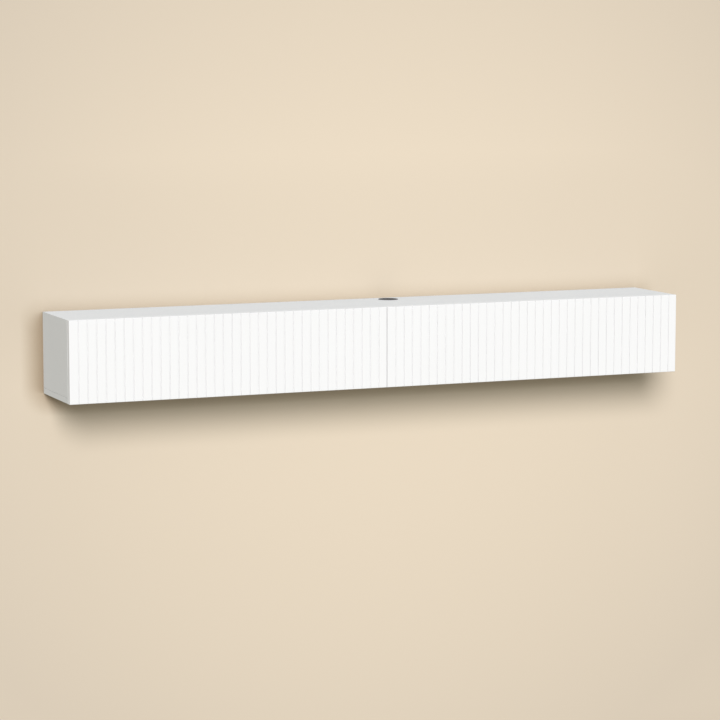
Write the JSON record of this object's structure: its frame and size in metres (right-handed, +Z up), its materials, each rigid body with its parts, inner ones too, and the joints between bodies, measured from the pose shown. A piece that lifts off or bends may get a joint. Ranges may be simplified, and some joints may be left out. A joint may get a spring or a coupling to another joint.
{
  "type": "floating media console",
  "caption": "Long wall-hung media cabinet with two fluted push-to-open drop-down doors, hung on a steel rail, with a cable grommet in its top.",
  "frame": {"origin": "on the wall, midway along the hanging rail, on the line of its screw slots", "axes": "+X to the right seen from the front, +Y into the wall, +Z up"},
  "size_m": [2.2, 0.3, 0.2712],
  "materials": {
    "white_lacquer": "white satin lacquer on fibreboard",
    "back_board": "white painted hardboard",
    "plain_wood": "bare beech",
    "zinc_alloy": "die-cast zinc, satin",
    "zinc_plated_steel": "bright zinc plate",
    "galvanised_steel": "galvanised",
    "grommet_plastic": "dark grey, fine grain",
    "grey_plastic": "moulded grey",
    "latch_plastic": "moulded off-white",
    "clear_rubber": "translucent soft dot"
  },
  "bodies": {
    "cabinet": {"top_panel": "white_lacquer", "bottom_panel": "white_lacquer", "centre_divider": "white_lacquer", "mitre_splines": "plain_wood", "panel_dowels": "plain_wood", "cam_discs": "zinc_alloy", "cam_bolts": "zinc_plated_steel", "wall_rail": "galvanised_steel", "hanger_housings": "grey_plastic", "hanger_hooks": "zinc_plated_steel", "hanger_adjusters": "zinc_plated_steel", "grommet_liner": "grommet_plastic", "left_side": "white_lacquer", "right_side": "white_lacquer", "left_back_panel": "back_board", "right_back_panel": "back_board", "left_hinge_bases": "zinc_alloy", "left_hinge_pins": "zinc_plated_steel", "left_stay_dampers": "grey_plastic", "left_latch_housings": "latch_plastic", "right_hinge_bases": "zinc_alloy", "right_hinge_pins": "zinc_plated_steel", "right_stay_dampers": "grey_plastic", "right_latch_housings": "latch_plastic"},
    "grommet_cap": {"grommet_cap": "grommet_plastic"},
    "left_door": {"left_door": "white_lacquer", "left_hinge_leaves": "zinc_alloy", "left_stay_brackets": "zinc_plated_steel", "left_stay_bracket_pins": "zinc_plated_steel", "left_strike_plates": "zinc_plated_steel", "left_door_buffers": "clear_rubber"},
    "left_drive_arms": {"left_stay_drive_arms": "zinc_plated_steel", "left_stay_rotors": "zinc_plated_steel", "left_stay_rivets": "zinc_plated_steel"},
    "left_link_arms": {"left_stay_link_arms": "zinc_plated_steel"},
    "left_plungers": {"left_latch_plungers": "grey_plastic"},
    "right_door": {"right_door": "white_lacquer", "right_hinge_leaves": "zinc_alloy", "right_stay_brackets": "zinc_plated_steel", "right_stay_bracket_pins": "zinc_plated_steel", "right_strike_plates": "zinc_plated_steel", "right_door_buffers": "clear_rubber"},
    "right_drive_arms": {"right_stay_drive_arms": "zinc_plated_steel", "right_stay_rotors": "zinc_plated_steel", "right_stay_rivets": "zinc_plated_steel"},
    "right_link_arms": {"right_stay_link_arms": "zinc_plated_steel"},
    "right_plungers": {"right_latch_plungers": "grey_plastic"}
  },
  "joints": [
    {"name": "left_door_hinge", "type": "hinge", "parent": "cabinet", "child": "left_door", "pos_m": [-0.55, -0.2745, -0.195], "axis": [1, 0, 0], "range_deg": [0, 90]},
    {"name": "left_damper_shaft", "type": "hinge", "parent": "cabinet", "child": "left_drive_arms", "pos_m": [-0.55, -0.1945, -0.125], "axis": [1, 0, 0], "range_deg": [0, 90]},
    {"name": "left_bracket_pivot", "type": "hinge", "parent": "left_door", "child": "left_link_arms", "pos_m": [-0.55, -0.2625, -0.075], "axis": [1, 0, 0], "range_deg": [-90, 0]},
    {"name": "left_plunger_slide", "type": "slide", "parent": "cabinet", "child": "left_plungers", "axis": [0, -1, 0], "range_m": [0, 0.02]},
    {"name": "right_door_hinge", "type": "hinge", "parent": "cabinet", "child": "right_door", "pos_m": [0.55, -0.2745, -0.195], "axis": [1, 0, 0], "range_deg": [0, 90]},
    {"name": "right_damper_shaft", "type": "hinge", "parent": "cabinet", "child": "right_drive_arms", "pos_m": [0.55, -0.1945, -0.125], "axis": [1, 0, 0], "range_deg": [0, 90]},
    {"name": "right_bracket_pivot", "type": "hinge", "parent": "right_door", "child": "right_link_arms", "pos_m": [0.55, -0.2625, -0.075], "axis": [1, 0, 0], "range_deg": [-90, 0]},
    {"name": "right_plunger_slide", "type": "slide", "parent": "cabinet", "child": "right_plungers", "axis": [0, -1, 0], "range_m": [0, 0.02]},
    {"name": "grommet_cap_lift", "type": "slide", "parent": "cabinet", "child": "grommet_cap", "axis": [0, 0, 1], "range_m": [0, 0.04]}
  ],
  "couplings": [
    {"joint": "left_damper_shaft", "follows": "left_door_hinge", "ratio": 1},
    {"joint": "left_bracket_pivot", "follows": "left_door_hinge", "ratio": -1},
    {"joint": "left_plunger_slide", "follows": "left_door_hinge", "m_per_rad": 0.01273},
    {"joint": "right_damper_shaft", "follows": "right_door_hinge", "ratio": 1},
    {"joint": "right_bracket_pivot", "follows": "right_door_hinge", "ratio": -1},
    {"joint": "right_plunger_slide", "follows": "right_door_hinge", "m_per_rad": 0.01273}
  ]
}
